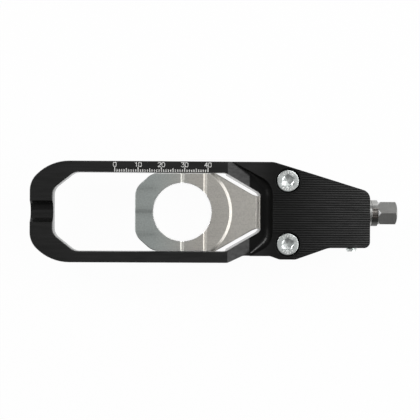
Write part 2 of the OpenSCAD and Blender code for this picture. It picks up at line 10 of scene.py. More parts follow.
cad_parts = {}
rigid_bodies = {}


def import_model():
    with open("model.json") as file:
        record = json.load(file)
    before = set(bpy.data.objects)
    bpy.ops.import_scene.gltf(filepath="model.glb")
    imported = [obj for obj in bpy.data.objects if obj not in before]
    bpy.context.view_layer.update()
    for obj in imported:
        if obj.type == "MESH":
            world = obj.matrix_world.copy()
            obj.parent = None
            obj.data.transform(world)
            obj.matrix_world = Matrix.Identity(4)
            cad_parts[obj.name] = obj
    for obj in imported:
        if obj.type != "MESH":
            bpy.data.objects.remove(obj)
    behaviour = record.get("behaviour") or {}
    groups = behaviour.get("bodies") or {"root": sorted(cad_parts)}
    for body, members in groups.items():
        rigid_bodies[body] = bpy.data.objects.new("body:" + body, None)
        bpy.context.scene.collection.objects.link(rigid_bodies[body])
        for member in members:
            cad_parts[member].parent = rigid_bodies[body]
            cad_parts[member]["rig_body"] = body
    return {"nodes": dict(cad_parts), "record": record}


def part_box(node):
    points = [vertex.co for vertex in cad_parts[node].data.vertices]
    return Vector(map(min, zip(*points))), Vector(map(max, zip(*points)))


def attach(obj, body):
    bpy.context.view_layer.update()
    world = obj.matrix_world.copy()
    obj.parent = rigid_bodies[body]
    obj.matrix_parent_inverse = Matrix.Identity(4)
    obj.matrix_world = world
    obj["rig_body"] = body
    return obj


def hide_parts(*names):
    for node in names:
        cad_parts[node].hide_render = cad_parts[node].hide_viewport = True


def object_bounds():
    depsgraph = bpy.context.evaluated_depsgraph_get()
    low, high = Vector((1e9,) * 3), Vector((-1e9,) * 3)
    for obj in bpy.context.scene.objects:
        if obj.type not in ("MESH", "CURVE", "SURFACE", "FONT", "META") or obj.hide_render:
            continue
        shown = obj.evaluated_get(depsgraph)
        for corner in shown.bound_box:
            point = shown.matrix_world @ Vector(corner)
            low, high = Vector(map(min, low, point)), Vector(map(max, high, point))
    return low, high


bl_info = {
    "name": "Chain Adjuster",
    "version": (1, 0, 0),
    "blender": (4, 5, 0),
    "location": "3D View > Sidebar > Chain Adjuster",
    "description": "Finishes, threads and stage of a motorcycle chain adjuster",
    "category": "Object",
}

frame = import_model()
solid_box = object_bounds()

MM = 0.001
BLACK = (0.0, 0.0, 0.0)
WHITE = (1.0, 1.0, 1.0)
# Width over which a painted edge fades
CRISP = 0.01 * MM
# Place across the block, in mm, and strength of each painted dark reflection band
REFLECTION_BANDS = ((-9.8, 0.5), (0.2, 0.8), (10.2, 0.45))
# Point that every lamp faces
LAMP_AIM = (0.02, 0, 0.01)
# Name, degrees around and above, distance, width and height in metres, and radiance of each lamp
LAMPS = (
    ("right_softbox", 6, 43, 0.75, 1.00, 0.42, 2.2),
    ("right_low_softbox", 0, 15, 0.80, 1.30, 0.26, 2.4),
    ("ridge_softbox", 52, 57, 0.90, 0.36, 0.34, 2.2),
    ("far_softbox", 95, 29, 0.71, 0.90, 0.30, 0.16),
    ("far_low_softbox", 90, 10, 0.80, 1.20, 0.20, 1.4),
    ("left_softbox", 145, 38, 0.75, 0.30, 0.28, 6.5),
    ("left_low_softbox", 185, 37, 0.75, 0.35, 0.20, 0.9),
    ("front_low_softbox", 180, 8, 0.80, 1.00, 0.18, 1.6),
    ("overhead_softbox", 0, 84, 1.30, 0.62, 0.90, 0.33),
)


def length(label, text, default):
    """A length that a user can change, in metres."""
    return FloatProperty(name=label, description=text, default=default, unit="LENGTH", precision=5)


def share(label, text, default):
    """A share from 0 to 1 that a user can change."""
    return FloatProperty(
        name=label, description=text, default=default, min=0, max=1, subtype="FACTOR"
    )


def paint(label, text, default):
    """A colour that a user can change, as linear red, green and blue."""
    return FloatVectorProperty(
        name=label, description=text, default=default, size=3, min=0, max=1, subtype="COLOR"
    )


class AdjusterSizes(bpy.types.PropertyGroup):
    """Sizes of the forms that are added to the solids."""

    edge_r: length("Edge radius", "Soft radius of a machined edge", 0.08 * MM)
    stud_pitch: length("Stud pitch", "Thread pitch of the pull stud", 1.0 * MM)
    screw_pitch: length("Screw pitch", "Thread pitch of the clamp screws", 1.0 * MM)
    lock_pitch: length("Lock pitch", "Thread pitch of the lock screw", 0.8 * MM)
    shank_r: length("Shank radius", "Radius of the clamp screws' shanks", 3.0 * MM)
    socket_flats: length("Socket", "Width of the clamp screws' sockets", 4.0 * MM)
    socket_deep: length("Socket depth", "Depth of the clamp screws' sockets", 2.2 * MM)
    head_high: length("Head height", "Height of the clamp screws' heads", 4.0 * MM)
    head_edge: length("Head edge", "Radius round the clamp screws' heads", 0.45 * MM)
    mark_high: length("Mark height", "Rise of the marks on the screw heads", 0.25 * MM)
    mark_wide: length("Mark width", "Width of the marks on the screw heads", 0.32 * MM)
    mark_apart: FloatProperty(
        name="Mark spacing",
        description="Angle from one mark to the next",
        default=math.radians(17),
        subtype="ANGLE",
    )
    mark_count: IntProperty(
        name="Marks", description="Marks in each group on a screw head", default=5, min=1, max=9
    )


class AdjusterPlaces(bpy.types.PropertyGroup):
    """Places on the part that its finishes follow."""

    scale_start: length("Scale start", "Front end of the engraved scale", -30.2 * MM)
    scale_end: length("Scale end", "Rear end of the engraved scale", 12.8 * MM)
    scale_inner: length("Scale inner edge", "Edge of the scale nearer the slot", 17.19 * MM)
    scale_outer: length("Scale outer edge", "Edge of the scale nearer the rim", 21.6 * MM)
    engraving: length("Engraving", "Depth of the engraved scale", 0.15 * MM)
    pocket_deep: length("Pocket depth", "Depth of the pocket's floor", 3.8 * MM)
    pocket_start: length("Pocket start", "Front end of the matt pocket", 28.8 * MM)
    pocket_end: length("Pocket end", "Rear end of the matt pocket", 39.5 * MM)
    pocket_half: length("Pocket half width", "Half width of the matt rear wall", 8.0 * MM)
    nose_start: length("Nose start", "Where the sheen has fallen to the nose's", 41.0 * MM)
    nose_end: length("Nose end", "Where the nose's end has its full sheen", 80.0 * MM)
    cool_end: length("Cool end", "Where the block's cool tone ends", -14.0 * MM)
    warm_start: length("Warm start", "Where the block's warm tone is full", 8.0 * MM)
    # The bands that fade and end here are painted dark reflections across the block's front
    bands_fade: length("Bands fade", "Where the cutter bands begin to fade", -13.5 * MM)
    bands_end: length("Bands end", "Where the cutter bands end", -8.5 * MM)
    # The tail's lightening is a painted highlight
    tail_start: length("Tail start", "Where the block's tail begins to lighten", 14.0 * MM)
    tail_full: length("Tail full", "Where the block's tail is lightest", 24.0 * MM)
    bore_mouth: length("Bore mouth", "Width of the honed rim round the bore", 0.17 * MM)
    # Width of the painted highlight along the block's edge bevels
    highlight_edge_width: length("Rubbed edge", "Width of the rubbed bevel along the block", 0.3 * MM)
    # Painted shade on the collar, darkest at the first of these places and gone at the second
    shade_darkest: length("Oil full", "Place across the collar where the oil is darkest", -3.6 * MM)
    shade_end: length("Oil end", "Place across the collar where the oil ends", 2.2 * MM)
    film_low: length("Film low", "Lower edge of the brown film on the collar", -2.6 * MM)
    film_high: length("Film high", "Upper edge of the brown film on the collar", 2.4 * MM)
    hexagon_long: length("Hexagon length", "Length of the nut's hexagon", 8.35 * MM)
    lead_r: length("Lead radius", "Radius of the hexagon's lead at the collar", 5.055 * MM)
    # The white length of the lead is a painted highlight
    highlight_long: length("Blasted length", "Length of the lead that is white", 1.4 * MM)
    lead_slope: share("Lead slope", "Rise of the hexagon's lead for its length", 0.55)


class AdjusterFinish(bpy.types.PropertyGroup):
    """Colours and roughness of the finishes."""

    coat_dark: paint("Coat, dark", "Darker tone of the black coat", (0.0034, 0.0036, 0.0036))
    coat_light: paint("Coat, light", "Lighter tone of the black coat", (0.0066, 0.0066, 0.0062))
    coat_rough: share("Coat roughness", "Roughness of the black coat", 0.2)
    rail_sheen: share("Rail sheen", "Sheen of the coat on the rails", 0.66)
    nose_sheen: share("Nose sheen", "Sheen of the coat where the nose starts", 0.12)
    end_sheen: share("Nose end sheen", "Sheen of the coat at the nose's end", 0.36)
    wall_sheen: share("Wall sheen", "Sheen added on the walls below the face", 0.3)
    pocket_matt: share("Matt pocket", "Share of the sheen that the pocket lacks", 0.92)
    scale_matt: share("Matt scale", "Share of the sheen that the scale lacks", 0.8)
    scale_white: paint("Scale white", "Colour of the engraved scale", (0.86, 0.86, 0.84))
    block_cool: paint("Block, cool", "Aluminium tone at the block's front", (0.585, 0.63, 0.61))
    block_warm: paint("Block, warm", "Aluminium tone at the block's tail", (0.69, 0.665, 0.615))
    block_rough: share("Block roughness", "Roughness of the aluminium", 0.34)
    # This tone also colours the painted highlight along the block's edge bevels
    honed_and_highlight_tone: paint("Honed bore", "Tone of the honed bore and rubbed edges", (0.96, 0.96, 0.95))
    steel_tone: paint("Steel", "Tone of the turned steel", (0.50, 0.50, 0.485))
    steel_rough: share("Steel roughness", "Roughness of the turned steel", 0.33)
    film_tone: paint("Oil film", "Tone of the oil film on the collar", (0.11, 0.085, 0.07))
    zinc_tone: paint("Zinc", "Tone of the zinc plate", (0.90, 0.92, 0.91))
    zinc_green: paint("Zinc, green", "Second tone of the zinc plate", (0.70, 0.76, 0.74))
    zinc_rough: share("Zinc roughness", "Roughness of the zinc plate", 0.24)
    # The marks' tone is a painted highlight
    mark_tone: paint("Marks", "Tone of the rubbed marks on the screws", (0.98, 0.98, 0.96))
    spring_tone: paint("Spring steel", "Tone of the phosphated ring", (0.12, 0.12, 0.125))
    bronze_tone: paint("Bronze", "Tone of the sintered bushes", (0.60, 0.38, 0.19))
    rubber_tone: paint("Rubber", "Tone of the seal", (0.012, 0.012, 0.012))
    pad_tone: paint("Pad", "Tone of the plastic pad", (0.78, 0.76, 0.70))


class AdjusterStage(bpy.types.PropertyGroup):
    """Floor, lamps and camera."""

    floor_half: length("Floor", "Half width of the floor", 4.0)
    floor_gap: length("Floor gap", "Gap between the floor and the part", 0.02 * MM)
    floor_tone: paint("Floor colour", "Colour of the floor", (0.9, 0.9, 0.9))
    floor_glow: share("Floor white", "Share of plain white seen in the floor", 0.965)
    world_light: share("Surrounding light", "Brightness of the surroundings", 0.16)
    camera_high: length("Camera height", "Height of the camera above the bore", 492 * MM)
    aim_x: length("Aim X", "Point at which the camera looks, along the plate", 11.86 * MM)
    aim_y: length("Aim Y", "Point at which the camera looks, across the plate", 0.94 * MM)
    lens_mm: FloatProperty(
        name="Lens", description="Focal length in mm", default=93.77, unit="CAMERA"
    )
    sensor_mm: FloatProperty(
        name="Sensor", description="Width of the sensor in mm", default=36, unit="CAMERA"
    )
    roll: FloatProperty(
        name="Roll", description="Turn of the picture", default=math.radians(0.32), subtype="ANGLE"
    )


class Channel:
    """One socket of a shader, so that values can be written as Python expressions."""

    def __init__(self, shader, socket):
        self.shader = shader
        self.socket = socket

    def __add__(self, other):
        return self.shader.math("ADD", self, other)

    def __radd__(self, other):
        return self.shader.math("ADD", other, self)

    def __sub__(self, other):
        return self.shader.math("SUBTRACT", self, other)

    def __rsub__(self, other):
        return self.shader.math("SUBTRACT", other, self)

    def __mul__(self, other):
        return self.shader.math("MULTIPLY", self, other)

    def __rmul__(self, other):
        return self.shader.math("MULTIPLY", other, self)

    def __truediv__(self, other):
        return self.shader.math("DIVIDE", self, other)

    def __rtruediv__(self, other):
        return self.shader.math("DIVIDE", other, self)

    def __pow__(self, other):
        return self.shader.math("POWER", self, other)


class Shader:
    """The node tree of one material, or of the surroundings."""

    def __init__(self, name, kind=bpy.data.materials):
        self.owner = kind.new(name)
        self.owner.use_nodes = True
        self.tree = self.owner.node_tree
        self.tree.nodes.clear()

    def node(self, kind, settings=None, values=None, output=0):
        """Adds a node with its settings, then its socket values or links, and gives an output."""
        made = self.tree.nodes.new(kind)
        for name, value in (settings or {}).items():
            setattr(made, name, value)
        for name, value in (values or {}).items():
            self.join(made.inputs[name], value)
        return Channel(self, made.outputs[output]) if made.outputs else None

    def join(self, socket, value):
        """Links a channel to a socket, or sets the socket to a plain value."""
        if isinstance(value, Channel):
            self.tree.links.new(value.socket, socket)
        elif hasattr(value, "__len__") and len(value) == 3 and socket.type == "RGBA":
            socket.default_value = (*value, 1)
        else:
            socket.default_value = value

    def math(self, operation, *values):
        """The result of one Math node."""
        return self.node("ShaderNodeMath", {"operation": operation}, dict(enumerate(values)))

    def largest(self, first, *others):
        """The largest of several masks."""
        for other in others:
            first = self.math("MAXIMUM", first, other)
        return first

    def place(self):
        """The point on the surface, in metres in the object's own frame."""
        return self.node("ShaderNodeTexCoord", output="Object")

    def split(self, vector):
        """The three parts of a vector."""
        parts = self.node("ShaderNodeSeparateXYZ", values={"Vector": vector})
        return [Channel(self, socket) for socket in parts.socket.node.outputs]

    def stretched(self, vector, scales):
        """The vector with each part scaled, so that noise made from it runs long one way."""
        return self.node("ShaderNodeVectorMath", {"operation": "MULTIPLY"}, {0: vector, 1: scales})

    def noise(self, vector, scale, detail=2.0):
        """Soft noise from 0 to 1, with its scale in cells per metre."""
        return self.node(
            "ShaderNodeTexNoise", values={"Vector": vector, "Scale": scale, "Detail": detail}
        )

    def ray_kinds(self):
        """Camera, mirror and see-through rays, each 1 where the ray is of that kind."""
        rays = self.node("ShaderNodeLightPath").socket.node.outputs
        kinds = ("Is Camera Ray", "Is Glossy Ray", "Is Transmission Ray")
        return [Channel(self, rays[kind]) for kind in kinds]

    def rise(self, value, low, high):
        """A mask that goes from 0 to 1 as the value goes from low to high."""
        return self.node(
            "ShaderNodeMapRange",
            {"interpolation_type": "SMOOTHSTEP"},
            {"Value": value, "From Min": low, "From Max": high},
        )

    def between(self, value, low, high, soft):
        """A mask that is 1 from low to high, with soft ends."""
        return self.rise(value, low, low + soft) * (1 - self.rise(value, high - soft, high))

    def mix(self, factor, a, b):
        """Colour a where the factor is 0 and colour b where it is 1."""
        ends = [(*c, 1) if isinstance(c, (tuple, Vector)) else c for c in (a, b)]
        return self.node(
            "ShaderNodeMix", {"data_type": "RGBA"}, {0: factor, 6: ends[0], 7: ends[1]}, output=2
        )

    def bump(self, height, reach, strength=1.0, normal=None):
        """A normal that follows a height, on top of another normal where one is given."""
        values = {"Height": height, "Distance": reach, "Strength": strength}
        if normal:
            values["Normal"] = normal
        return self.node("ShaderNodeBump", values=values)

    def soft_edges(self, radius):
        """A normal that makes sharp edges look rounded."""
        return self.node("ShaderNodeBevel", {"samples": 6}, {"Radius": radius})

    def surface(self, **values):
        """The material's own shader, with socket names in words joined by underscores."""
        sockets = {name.replace("_", " "): value for name, value in values.items()}
        made = self.node("ShaderNodeBsdfPrincipled", values=sockets)
        self.node("ShaderNodeOutputMaterial", values={"Surface": made})
        return self.owner


def tone(colour):
    """A setting's colour as plain numbers."""
    return tuple(colour)


def mount(name):
    """A mount of the record, by its name."""
    for row in frame["record"]["mounts"]:
        if row["name"] == name:
            return row
    raise RuntimeError("the record has no mount " + name)


def black_anodised(scene):
    """Satin black coat over milled aluminium, with the engraved scale left white."""
    places = scene.adjuster_places
    finish = scene.adjuster_finish
    shader = Shader("black_anodised_finish")
    place = shader.place()
    x, y, z = shader.split(place)
    face = solid_box[1].z
    grain = shader.noise(shader.stretched(place, (0.03, 1, 0.5)), 2600, 3)
    cloud = shader.noise(shader.stretched(place, (0.3, 1, 1)), 110, 2)
    streak = shader.rise(shader.noise(shader.stretched(place, (0.07, 1, 1)), 1300, 2), 0.35, 0.65)
    speck = shader.noise(place, 9000, 1)

    engraving = face - places.engraving
    on_rail = shader.between(y, places.scale_inner, places.scale_outer, CRISP)
    on_scale = shader.between(x, places.scale_start, places.scale_end, CRISP)
    engraved = shader.between(z, engraving - 0.03 * MM, engraving + 0.04 * MM, CRISP)
    scale_mask = on_rail * on_scale * engraved

    pocket_floor = face - places.pocket_deep
    on_floor = shader.between(z, pocket_floor - 0.1 * MM, pocket_floor + 0.1 * MM, CRISP)
    across_rear = shader.between(y, -places.pocket_half, places.pocket_half, 2 * MM)
    up_rear = shader.between(z, face - 5 * MM, face - 0.1 * MM, 0.1 * MM)
    in_pocket = shader.between(x, places.pocket_start, places.pocket_end, 0.3 * MM)
    matt = shader.largest(on_floor, across_rear * up_rear) * in_pocket

    behind_pocket = shader.rise(x, places.nose_start - 11 * MM, places.nose_start)
    toward_end = shader.rise(x, places.nose_start - 2 * MM, places.nose_end)
    below_face = 1 - shader.rise(z, face - 4.4 * MM, face - 4 * MM)
    to_nose = finish.nose_sheen - finish.rail_sheen
    to_end = finish.end_sheen - finish.nose_sheen
    sheen = finish.rail_sheen + to_nose * behind_pocket + to_end * toward_end
    sheen = sheen + finish.wall_sheen * below_face
    polish = sheen * (1 - finish.pocket_matt * matt) * (1 - finish.scale_matt * scale_mask)

    coat = shader.mix(cloud, tone(finish.coat_dark), tone(finish.coat_light))
    relief = grain * 0.7 + speck * 0.3
    soft = shader.soft_edges(scene.adjuster_sizes.edge_r)
    return shader.surface(
        Base_Color=shader.mix(scale_mask, coat, tone(finish.scale_white)),
        Roughness=0.4 + 0.2 * grain,
        Specular_IOR_Level=0.1,
        Coat_Weight=polish * (0.665 + 0.3 * cloud + 0.37 * streak),
        Coat_Roughness=finish.coat_rough,
        Normal=shader.bump(relief, 0.012 * MM, 0.35, soft),
    )


def bare_aluminium(scene):
    """Brushed aluminium of the axle block, with a few painted dark reflection bands near its
    front, a painted highlight on its tail and a painted highlight along its edge bevels.
    """
    places = scene.adjuster_places
    finish = scene.adjuster_finish
    shader = Shader("bare_aluminium_finish")
    place = shader.place()
    x, y, z = shader.split(place)
    brush = shader.noise(shader.stretched(place, (0.02, 1, 0.6)), 3200, 3)
    wide = shader.noise(shader.stretched(place, (0.12, 1, 1)), 420, 2)
    grit = shader.rise(shader.noise(place, 1500, 2), 0.3, 0.7)

    warmth = shader.rise(x, places.cool_end, places.warm_start)
    metal = shader.mix(warmth, tone(finish.block_cool), tone(finish.block_warm))
    # Painted dark reflections: bands across the block's front end, which fade out before the bore
    front = 1 - shader.rise(x, places.bands_fade, places.bands_end)
    half_band = 0.9 * MM
    bands = 0
    for centre, depth in REFLECTION_BANDS:
        away = (y - centre * MM) / half_band
        bands = bands + depth / (1 + away * away)
    # Painted highlight: the tail is lighter, where the lamps on the right light it more
    tail = shader.rise(x, places.tail_start, places.tail_full)
    shade = 0.69 + 0.16 * brush + 0.12 * wide + 0.14 * grit + 0.05 * tail - 0.38 * front * bands
    toned = shader.mix(shade, BLACK, metal)

    from_axis = (x * x + y * y) ** 0.5
    mouth_r = mount("axle_bore")["dims"]["r_mm"] * MM + places.bore_mouth
    honed = 1 - shader.rise(from_axis, mouth_r, mouth_r + 0.03 * MM)
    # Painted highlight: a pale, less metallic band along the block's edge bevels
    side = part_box("axle_block")[1].y - places.highlight_edge_width
    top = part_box("axle_block")[1].z
    from_middle = (y * y) ** 0.5
    by_side = shader.rise(from_middle, side + CRISP, side + 0.05 * MM)
    painted_highlight = by_side * shader.between(z, top - places.highlight_edge_width - 2 * CRISP, top, CRISP)
    soft = shader.soft_edges(scene.adjuster_sizes.edge_r)
    return shader.surface(
        Base_Color=shader.mix(shader.largest(honed, painted_highlight), toned, tone(finish.honed_and_highlight_tone)),
        Metallic=1 - 0.6 * painted_highlight,
        Roughness=(finish.block_rough - 0.06 + 0.14 * brush) * (1 - 0.75 * honed),
        Normal=shader.bump(brush, 0.01 * MM, 0.3, soft),
    )


def turned_steel(scene):
    """Turned steel with fine marks round the adjuster's axis, with painted shade on the thrust
    collar's side toward negative y, a brown film on the collar and a painted highlight on the
    hexagon's lead.
    """
    places = scene.adjuster_places
    finish = scene.adjuster_finish
    shader = Shader("turned_steel_finish")
    place = shader.place()
    x, y, z = shader.split(place)
    turning = shader.noise(shader.stretched(place, (1, 0.08, 0.08)), 3600, 2)
    cloud = shader.noise(place, 260, 2)

    collar = [corner.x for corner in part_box("thrust_collar")]
    on_collar = shader.between(x, collar[0] - 0.1 * MM, collar[1] + 0.05 * MM, 0.05 * MM)
    # Painted shade: the collar darkens toward negative y, standing in for a dark reflection
    painted_shade = on_collar * (1 - shader.rise(y, places.shade_darkest, places.shade_end)) * 0.8
    film = on_collar * shader.between(y, places.film_low, places.film_high, 0.3 * MM) * 0.55
    tone_and_shade = (0.66 + 0.25 * cloud + 0.15 * turning) * (1 - painted_shade)
    clean = shader.mix(tone_and_shade, BLACK, tone(finish.steel_tone))
    steel = shader.mix(film, clean, tone(finish.film_tone))

    nut_end = mount("adjuster_hexagon")["pos_m"]
    height = z - nut_end[2]
    from_axis = (y * y + height * height) ** 0.5
    lead_start = nut_end[0] - places.hexagon_long
    cone_r = places.lead_r + places.lead_slope * (x - lead_start)
    near = 0.04 * MM
    on_cone = shader.between(from_axis - cone_r, -near, near, CRISP)
    # Painted highlight: a pale, less metallic band on the hexagon's coned lead
    highlight_end = lead_start + places.highlight_long
    lead_highlight = on_cone * shader.between(x, lead_start - 0.1 * MM, highlight_end, 0.02 * MM)
    soft = shader.soft_edges(scene.adjuster_sizes.edge_r)
    return shader.surface(
        Base_Color=shader.mix(lead_highlight, steel, WHITE),
        Metallic=1 - 0.5 * lead_highlight,
        Roughness=finish.steel_rough - 0.06 + 0.12 * turning + 0.25 * lead_highlight,
        Normal=shader.bump(turning, 0.008 * MM, 0.3, soft),
    )


def plated_steel(scene):
    """Bright zinc plate over forged steel, with a painted highlight on the raised marks of the
    screw heads.
    """
    finish = scene.adjuster_finish
    shader = Shader("plated_steel_finish")
    place = shader.place()
    z = shader.split(place)[2]
    hammered = shader.noise(place, 900, 2)
    fine = shader.noise(place, 5200, 1)
    head_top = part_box("upper_clamp_screw")[1].z
    # Painted highlight: the tops of the raised marks are pale and less metallic
    raised = shader.rise(z, head_top + 0.08 * MM, head_top + 0.12 * MM)
    plate = shader.mix(hammered, tone(finish.zinc_tone), tone(finish.zinc_green))
    soft = shader.soft_edges(0.5 * scene.adjuster_sizes.edge_r)
    return shader.surface(
        Base_Color=shader.mix(raised, plate, tone(finish.mark_tone)),
        Metallic=1 - 0.6 * raised,
        Roughness=finish.zinc_rough - 0.05 + 0.12 * fine,
        Normal=shader.bump(hammered, 0.05 * MM, 0.35, soft),
    )


def plain_metal(name, colour, roughness, grain_scale):
    """A metal with a fine even grain."""
    shader = Shader(name)
    grain = shader.noise(shader.place(), grain_scale, 3)
    return shader.surface(
        Base_Color=shader.mix(0.8 + 0.25 * grain, BLACK, colour),
        Metallic=1.0,
        Roughness=roughness - 0.08 + 0.16 * grain,
        Normal=shader.bump(grain, 0.02 * MM, 0.3),
    )


def soft_material(name, colour, roughness):
    """Rubber or plastic with a faint moulded grain."""
    shader = Shader(name)
    grain = shader.noise(shader.place(), 4000, 2)
    return shader.surface(
        Base_Color=shader.mix(0.85 + 0.15 * grain, BLACK, colour),
        Roughness=roughness - 0.05 + 0.1 * grain,
        Normal=shader.bump(grain, 0.02 * MM, 0.3),
    )


def spring_steel(scene):
    """Phosphated steel of the retaining ring."""
    colour = tone(scene.adjuster_finish.spring_tone)
    return plain_metal("spring_steel_finish", colour, 0.45, 3000)


def bearing_bronze(scene):
    """Sintered bronze of the bushes."""
    colour = tone(scene.adjuster_finish.bronze_tone)
    return plain_metal("bearing_bronze_finish", colour, 0.42, 5000)


def seal_rubber(scene):
    """Matt rubber of the seal."""
    return soft_material("seal_rubber_finish", tone(scene.adjuster_finish.rubber_tone), 0.6)


def pad_plastic(scene):
    """Smooth plastic of the lock screw's pad."""
    return soft_material("pad_plastic_finish", tone(scene.adjuster_finish.pad_tone), 0.45)


FINISHES = {
    "black_anodised": black_anodised,
    "bare_aluminium": bare_aluminium,
    "turned_steel": turned_steel,
    "plated_steel": plated_steel,
    "spring_steel": spring_steel,
    "bearing_bronze": bearing_bronze,
    "seal_rubber": seal_rubber,
    "pad_plastic": pad_plastic,
}


def finish_of(slot):
    """The material for one of the record's material slots, made once."""
    made = bpy.data.materials.get(slot + "_finish")
    if made:
        return made
    if slot not in FINISHES:
        raise RuntimeError("no finish is written for the material slot " + slot)
    return FINISHES[slot](bpy.context.scene)


def node_slot(node):
    """The material slot that the record gives a node."""
    for row in frame["record"]["subparts"]:
        if row["node"] == node:
            return row["material_slot"]
    raise RuntimeError("the record has no node " + node)


def dress(*nodes):
    """Gives solids that are shown as they are their finish."""
    for name in nodes:
        mesh = frame["nodes"][name].data
        mesh.materials.clear()
        mesh.materials.append(finish_of(node_slot(name)))


def hexagon(flats):
    """Radius of a hexagon at an angle, with a corner at angle 0."""
    sixth = math.pi / 3
    return lambda angle: flats / 2 / math.cos(angle % sixth - sixth / 2)


def circle(radius):
    """Radius of a circle at an angle."""
    return lambda angle: radius


def thread(start, end, radius, pitch, chamfer, steps=8):
    """Rings of a thread, from start to end along the axis, with coned ends."""
    deep = 0.61 * pitch
    count = max(2, round((end - start) / pitch * steps))

    def ring_radius(along):
        reach = min(along - start, end - along)
        cone = radius - chamfer + reach

        def at(angle):
            phase = (along / pitch - angle / math.tau) % 1
            groove = min(1.0, max(0.0, 1.5 * abs(2 * phase - 1) - 0.25))
            return min(radius - deep * groove, max(cone, radius - deep))

        return at

    steps_along = [start + (end - start) * i / count for i in range(count + 1)]
    return [(along, ring_radius(along)) for along in steps_along]


def rounded_edge(along, radius, edge, steps=4):
    """Rings of the rounded edge where a cylinder's side meets its end at along."""
    turns = [math.pi / 2 * i / steps for i in range(steps + 1)]
    return [
        (along - edge + edge * math.sin(t), circle(radius - edge + edge * math.cos(t)))
        for t in turns
    ]


def revolved(name, rings, origin, axis, segments=48, smooth=30):
    """A closed mesh from rings along an axis, each a place and a radius for each angle."""
    turn = Vector(axis).to_track_quat("Z", "Y").to_matrix()
    points = [Vector(origin) + turn @ Vector((0, 0, rings[0][0]))]
    for along, radius in rings:
        for i in range(segments):
            angle = math.tau * i / segments
            r = radius(angle)
            local = Vector((r * math.cos(angle), r * math.sin(angle), along))
            points.append(Vector(origin) + turn @ local)
    points.append(Vector(origin) + turn @ Vector((0, 0, rings[-1][0])))
    last = len(points) - 1
    faces = [(0, 1 + (i + 1) % segments, 1 + i) for i in range(segments)]
    for row in range(len(rings) - 1):
        base = 1 + row * segments
        for i in range(segments):
            j = (i + 1) % segments
            faces.append((base + i, base + j, base + segments + j, base + segments + i))
    base = last - segments
    faces += [(base + i, base + (i + 1) % segments, last) for i in range(segments)]
    mesh = bpy.data.meshes.new(name)
    mesh.from_pydata(points, [], faces)
    mesh.update()
    mesh.shade_smooth()
    mesh.set_sharp_from_angle(angle=math.radians(smooth))
    return mesh


def piece(name, mesh, slot, node, replaced=True):
    """Puts a mesh in the scene, riding on a node's body and standing for the node."""
    made = bpy.data.objects.new(name, mesh)
    bpy.context.scene.collection.objects.link(made)
    mesh.materials.append(finish_of(slot))
    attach(made, frame["nodes"][node]["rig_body"])
    if replaced:
        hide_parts(node)
    return made


class SidePlateOperator(bpy.types.Operator):
    """Finish the side plate with its nose, and the clamp plate behind it."""

    bl_idname = "adjuster.side_plate"
    bl_label = "Side plate"

    def execute(self, context):
        dress("adjuster_body", "rear_clamp_plate", "upper_dowel", "lower_dowel")
        return {"FINISHED"}


class AxleBlockOperator(bpy.types.Operator):
    """Finish the axle block."""

    bl_idname = "adjuster.axle_block"
    bl_label = "Axle block"

    def execute(self, context):
        dress("axle_block", "stud_pin")
        return {"FINISHED"}


class PullStudOperator(bpy.types.Operator):
    """Build the pull stud with its thread."""

    bl_idname = "adjuster.pull_stud"
    bl_label = "Pull stud"

    def execute(self, context):
        sizes = context.scene.adjuster_sizes
        low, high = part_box("pull_stud")
        radius = (high.z - low.z) / 2
        chamfer = 0.4 * MM
        run_out = 0.6 * MM
        thread_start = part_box("axle_block")[1].x - 2 * MM
        rings = [
            (low.x, circle(radius - chamfer)),
            (low.x + chamfer, circle(radius)),
            (thread_start - run_out, circle(radius)),
        ]
        rings += thread(thread_start, high.x, radius, sizes.stud_pitch, 2 * chamfer)
        mesh = revolved("pull_stud_threaded", rings, (0, 0, (low.z + high.z) / 2), (1, 0, 0))
        piece("pull_stud_threaded", mesh, "turned_steel", "pull_stud")
        return {"FINISHED"}


class AdjusterNutOperator(bpy.types.Operator):
    """Finish the adjuster nut, its collar and what it turns in."""

    bl_idname = "adjuster.nut"
    bl_label = "Adjuster nut"

    def execute(self, context):
        dress("adjuster_nut", "thrust_collar", "collar_pin", "retaining_ring")
        dress("thrust_washer", "retaining_washer", "inner_bush", "outer_bush", "seal_ring")
        return {"FINISHED"}


